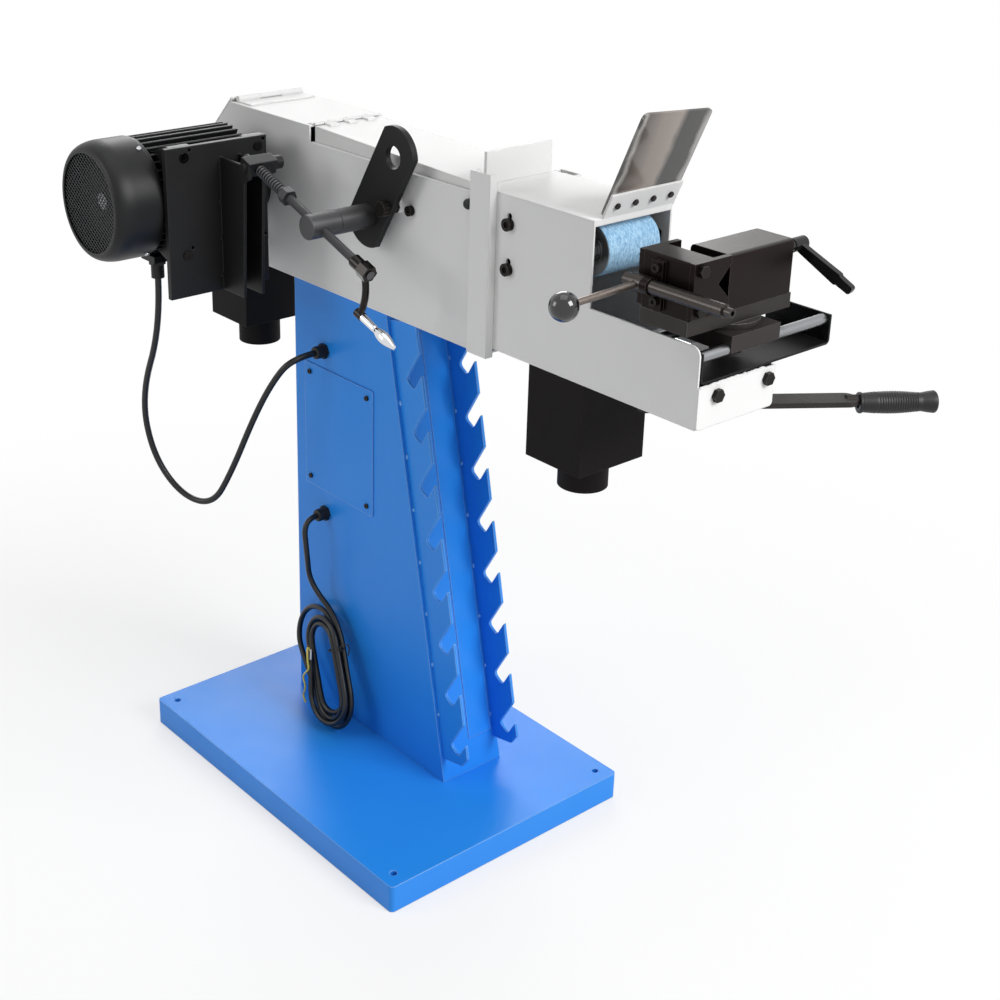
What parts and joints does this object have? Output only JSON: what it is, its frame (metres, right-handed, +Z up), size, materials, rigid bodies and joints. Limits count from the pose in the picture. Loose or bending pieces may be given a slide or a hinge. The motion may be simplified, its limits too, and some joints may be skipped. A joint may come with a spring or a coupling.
{
  "type": "tube belt grinder",
  "caption": "Pedestal tube belt grinder with a motor-driven abrasive belt, a contact roller, a swivelling V-jaw vice on a lever-fed carriage and hooked racks for spare rollers.",
  "frame": {"origin": "centre of the floor anchor pattern, on the floor under the base", "axes": "+X along the arm from the motor towards the vice, +Y towards the side away from the motor, +Z up"},
  "size_m": [1.2997, 0.6972, 1.2669],
  "materials": {
    "blue_paint": "satin enamel",
    "white_paint": "satin enamel",
    "black_paint": "satin enamel",
    "motor_paint": "satin enamel on a cast frame",
    "black_steel": "black oxide",
    "bright_steel": "ground",
    "chrome": "polished",
    "roller_aluminium": "turned",
    "belt_cloth": "coated abrasive",
    "clear_sheet": "clear",
    "black_plastic": "moulded",
    "grey_plastic": "moulded",
    "green_plastic": "moulded",
    "red_plastic": "moulded",
    "black_gloss": "moulded",
    "rubber": "matt"
  },
  "bodies": {
    "frame": {"base_plate": "blue_paint", "column": "blue_paint", "roller_rack_left": "blue_paint", "roller_rack_right": "blue_paint", "access_cover": "blue_paint", "cable_glands": "black_plastic", "contactor": "grey_plastic", "switch_box": "grey_plastic", "rear_housing": "white_paint", "front_housing": "white_paint", "joint_collar": "white_paint", "roof_hinges": "white_paint", "spark_shield": "clear_sheet", "frame_screws": "black_steel", "dust_box_front": "black_paint", "dust_box_rear": "black_paint", "roller_fork": "black_paint", "roller_axle": "bright_steel", "abrasive_belt": "belt_cloth", "swing_rod": "black_steel", "tension_bar": "black_steel", "tension_trunnion": "black_steel", "lifting_eye": "black_paint", "eye_stud": "black_steel", "guide_rods": "bright_steel", "motor_cable": "rubber", "mains_cord": "rubber", "mains_cord_coil": "rubber"},
    "start_button": {"start_button": "green_plastic"},
    "stop_button": {"stop_button": "red_plastic"},
    "motor": {"motor_plate": "black_paint", "motor_body": "motor_paint", "motor_end_shields": "motor_paint", "fan_cowl": "motor_paint", "terminal_box": "black_plastic", "motor_bolts": "black_steel"},
    "rotor": {"motor_rotor": "bright_steel", "cooling_fan": "black_plastic", "drive_roller": "roller_aluminium"},
    "contact_roller": {"contact_roller": "roller_aluminium", "roller_bearings": "bright_steel"},
    "screw_slide": {"tension_spring": "black_steel"},
    "crank": {"tension_spindle": "black_steel", "crank_arm": "chrome"},
    "crank_handle": {"crank_handle": "chrome"},
    "belt_lid": {"belt_lid": "white_paint"},
    "rear_cover": {"rear_cover": "white_paint"},
    "carriage": {"feed_tray": "black_paint", "cross_rods": "chrome"},
    "cross_slide": {"cross_block": "black_steel"},
    "vice": {"vice_base": "black_steel"},
    "v_jaw": {"v_jaw": "black_steel", "v_plates": "black_steel", "vice_screws": "black_steel"},
    "cam": {"clamp_shaft": "black_steel", "ball_knob": "black_gloss"},
    "sliding_jaw": {"sliding_jaw": "black_steel"},
    "lock_lever": {"lock_lever": "black_paint"},
    "feed_lever": {"feed_lever": "black_paint", "lever_grip": "rubber"}
  },
  "joints": [
    {"name": "start_press", "type": "slide", "parent": "frame", "child": "start_button", "axis": [0, -1, 0], "range_m": [0, 0.004], "stiffness_N_per_m": 400},
    {"name": "stop_press", "type": "slide", "parent": "frame", "child": "stop_button", "axis": [0, -1, 0], "range_m": [0, 0.004], "stiffness_N_per_m": 400},
    {"name": "motor_swing", "type": "hinge", "parent": "frame", "child": "motor", "pos_m": [-0.246, 0, 0.873], "axis": [0, 1, 0], "range_deg": [0, 3], "deforming": ["abrasive_belt"]},
    {"name": "drive_spin", "type": "hinge", "parent": "motor", "child": "rotor", "pos_m": [-0.32805, 0, 1.013], "axis": [0, 1, 0], "continuous": true},
    {"name": "contact_spin", "type": "hinge", "parent": "frame", "child": "contact_roller", "pos_m": [0.4525, 0, 1.061], "axis": [0, 1, 0], "continuous": true},
    {"name": "screw_travel", "type": "slide", "parent": "frame", "child": "screw_slide", "axis": [0.9409, 0, -0.3387], "range_m": [0, 0.0121]},
    {"name": "crank_turn", "type": "hinge", "parent": "screw_slide", "child": "crank", "pos_m": [0.02, -0.138, 1.022], "axis": [0.9409, 0, -0.3387], "range_deg": [0, 1080]},
    {"name": "handle_spin", "type": "hinge", "parent": "crank", "child": "crank_handle", "pos_m": [0.12451, -0.138, 0.90785], "axis": [0.9409, 0, -0.3387], "continuous": true},
    {"name": "lid_lift", "type": "hinge", "parent": "frame", "child": "belt_lid", "pos_m": [-0.1675, 0, 1.1275], "axis": [0, -1, 0], "range_deg": [0, 95]},
    {"name": "cover_lift", "type": "hinge", "parent": "frame", "child": "rear_cover", "pos_m": [-0.391, 0, 1.132], "axis": [0, 1, 0], "range_deg": [0, 100]},
    {"name": "carriage_feed", "type": "slide", "parent": "frame", "child": "carriage", "axis": [1, 0, 0], "range_m": [-0.055, 0]},
    {"name": "feed_turn", "type": "hinge", "parent": "frame", "child": "feed_lever", "pos_m": [0.566, 0.022, 0.866], "axis": [0, 0, 1], "range_deg": [0, 54.61]},
    {"name": "cross_move", "type": "slide", "parent": "carriage", "child": "cross_slide", "axis": [0, 1, 0], "range_m": [-0.04, 0.06]},
    {"name": "vice_swivel", "type": "hinge", "parent": "cross_slide", "child": "vice", "pos_m": [0.63, 0.097, 0.99], "axis": [0, 0, 1], "range_deg": [0, 60]},
    {"name": "v_jaw_move", "type": "slide", "parent": "vice", "child": "v_jaw", "axis": [0, 1, 0], "range_m": [-0.004, 0]},
    {"name": "cam_turn", "type": "hinge", "parent": "v_jaw", "child": "cam", "pos_m": [0.59, -0.036, 1.057], "axis": [-1, 0, 0], "range_deg": [0, 90]},
    {"name": "jaw_move", "type": "slide", "parent": "vice", "child": "sliding_jaw", "axis": [0, 1, 0], "range_m": [0, 0.05]},
    {"name": "lock_turn", "type": "hinge", "parent": "sliding_jaw", "child": "lock_lever", "pos_m": [0.65, 0.2, 1.08], "axis": [0, 1, 0], "range_deg": [-90, 15]}
  ],
  "couplings": [
    {"joint": "contact_spin", "follows": "drive_spin", "ratio": 2.6757},
    {"joint": "screw_travel", "follows": "crank_turn", "m_per_rad": 0.00063662},
    {"joint": "motor_swing", "follows": "crank_turn", "ratio": 0.0027644},
    {"joint": "feed_turn", "follows": "carriage_feed", "rad_per_m": -17.313},
    {"joint": "v_jaw_move", "follows": "cam_turn", "m_per_rad": -0.0025}
  ]
}
